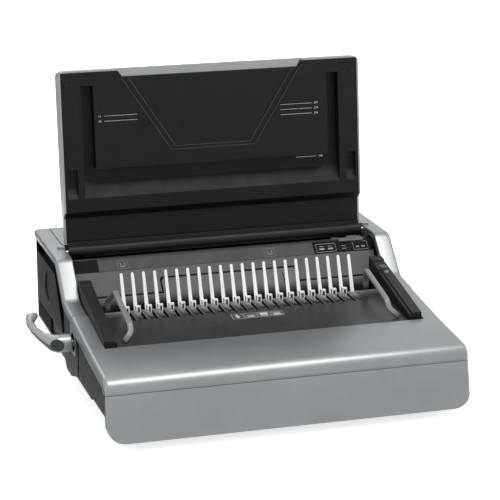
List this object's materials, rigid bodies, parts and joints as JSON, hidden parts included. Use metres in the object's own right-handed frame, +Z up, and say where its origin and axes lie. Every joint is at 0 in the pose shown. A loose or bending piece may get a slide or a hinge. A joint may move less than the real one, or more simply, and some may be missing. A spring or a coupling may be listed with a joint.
{
  "type": "comb binding machine",
  "caption": "Desktop comb binding machine with a hinged lid, lift-off cassette with comb fingers and hooks, side lever, paper slot, motor-driven punch and waste drawer.",
  "frame": {"origin": "middle of the outline, lever included, on the surface that the feet stand on", "axes": "+X to the machine's right as its user sees it, +Y to its back, +Z up"},
  "size_m": [0.4977, 0.4504, 0.3809],
  "materials": {
    "silver_cover": "satin silver paint on moulded covers",
    "dark_panel": "fine-textured dark grey",
    "black_plastic": "fine-textured black",
    "deck_grey": "fine-textured charcoal",
    "cassette_grey": "satin charcoal",
    "white_plastic": "smooth white",
    "handle_grey": "satin grey",
    "lever_silver": "satin silver",
    "frame_steel": "black powder coat",
    "steel": "ground steel",
    "gear_plastic": "natural nylon",
    "motor_case": "dark grey",
    "coil_core": "varnished",
    "board_green": "solder mask",
    "rubber": "matt",
    "lens": "clear"
  },
  "bodies": {
    "base": {"base_tray": "black_plastic", "feet": "rubber", "side_frame_left": "frame_steel", "side_frame_right": "frame_steel", "front_cover": "silver_cover", "arm_cover_left": "silver_cover", "arm_cover_right": "silver_cover", "rear_deck_cover": "silver_cover", "rear_cover": "dark_panel", "front_side_panel_left": "dark_panel", "front_side_panel_right": "dark_panel", "rear_side_panel_left": "dark_panel", "rear_side_panel_right": "dark_panel", "louvre_left": "black_plastic", "louvre_right": "black_plastic", "side_plugs": "dark_panel", "carry_grips": "black_plastic", "lever_housing": "black_plastic", "lever_escutcheon": "silver_cover", "well_floor": "black_plastic", "deck_panel": "deck_grey", "slot_strip": "black_plastic", "paper_guide": "black_plastic", "rail_left_rear": "black_plastic", "rail_left_front": "black_plastic", "rail_right": "black_plastic", "status_lens": "lens", "die_plate": "steel", "guide_plate": "steel", "paper_stop": "steel", "bar_guide_rods": "steel", "motor": "motor_case", "gear_bracket": "frame_steel", "transformer": "coil_core", "control_board": "board_green", "power_inlet": "black_plastic", "switch_body": "black_plastic", "hinge_pins": "steel", "cover_screws": "frame_steel"},
    "lid": {"lid_shell": "silver_cover", "lid_liner": "black_plastic", "lid_barrel": "black_plastic", "lid_bumpers": "rubber"},
    "cassette": {"cassette_body": "cassette_grey", "finger_comb": "white_plastic", "cassette_handles": "handle_grey"},
    "hooks": {"hook_plate": "white_plastic"},
    "lever": {"comb_lever": "lever_silver", "lever_cap": "dark_panel", "lever_shaft": "steel"},
    "drawer": {"drawer_front": "silver_cover", "drawer_tray": "black_plastic"},
    "punch": {"punch_bar": "steel", "punch_pins": "steel"},
    "cam_shaft": {"camshaft": "steel"},
    "reduction": {"reduction_gear": "gear_plastic"},
    "motor_rotor": {"motor_pinion": "steel"},
    "size_guide": {"edge_guide": "handle_grey"},
    "key": {"punch_key": "handle_grey"},
    "rocker": {"power_rocker": "black_plastic"}
  },
  "joints": [
    {"name": "lid_hinge", "type": "hinge", "parent": "base", "child": "lid", "pos_m": [0.02485, 0.11235, 0.1503], "axis": [-1, 0, 0], "range_deg": [-107.6, 0]},
    {"name": "cassette_lift", "type": "slide", "parent": "base", "child": "cassette", "axis": [0, 0, 1], "range_m": [0, 0.06]},
    {"name": "lever_turn", "type": "hinge", "parent": "base", "child": "lever", "pos_m": [-0.21515, -0.03165, 0.076], "axis": [1, 0, 0], "range_deg": [0, 130]},
    {"name": "hook_slide", "type": "slide", "parent": "cassette", "child": "hooks", "axis": [0, -1, 0], "range_m": [0, 0.0273]},
    {"name": "drawer_slide", "type": "slide", "parent": "base", "child": "drawer", "axis": [0, -1, 0], "range_m": [0, 0.19]},
    {"name": "cam_turn", "type": "hinge", "parent": "base", "child": "cam_shaft", "pos_m": [0.02485, 0.12975, 0.112], "axis": [1, 0, 0], "range_deg": [0, 300]},
    {"name": "punch_slide", "type": "slide", "parent": "base", "child": "punch", "axis": [0, -1, 0], "range_m": [0, 0.0121]},
    {"name": "reduction_turn", "type": "hinge", "parent": "base", "child": "reduction", "pos_m": [0.22485, 0.1655, 0.08305], "axis": [1, 0, 0], "range_deg": [-690, 0]},
    {"name": "motor_turn", "type": "hinge", "parent": "base", "child": "motor_rotor", "pos_m": [0.22485, 0.18803, 0.04067], "axis": [1, 0, 0], "range_deg": [0, 2975]},
    {"name": "edge_guide_slide", "type": "slide", "parent": "base", "child": "size_guide", "axis": [1, 0, 0], "range_m": [0, 0.009]},
    {"name": "punch_key_press", "type": "slide", "parent": "base", "child": "key", "axis": [0, 0, -1], "range_m": [0, 0.0015], "stiffness_N_per_m": 400},
    {"name": "rocker_tilt", "type": "hinge", "parent": "base", "child": "rocker", "pos_m": [-0.08015, 0.22015, 0.046], "axis": [1, 0, 0], "range_deg": [-20, 0]}
  ],
  "couplings": [
    {"joint": "hook_slide", "follows": "lever_turn", "m_per_rad": 0.012},
    {"joint": "punch_slide", "follows": "cam_turn", "m_per_rad": 0.0022918},
    {"joint": "reduction_turn", "follows": "cam_turn", "ratio": -2.2857},
    {"joint": "motor_turn", "follows": "cam_turn", "ratio": 9.9048}
  ]
}
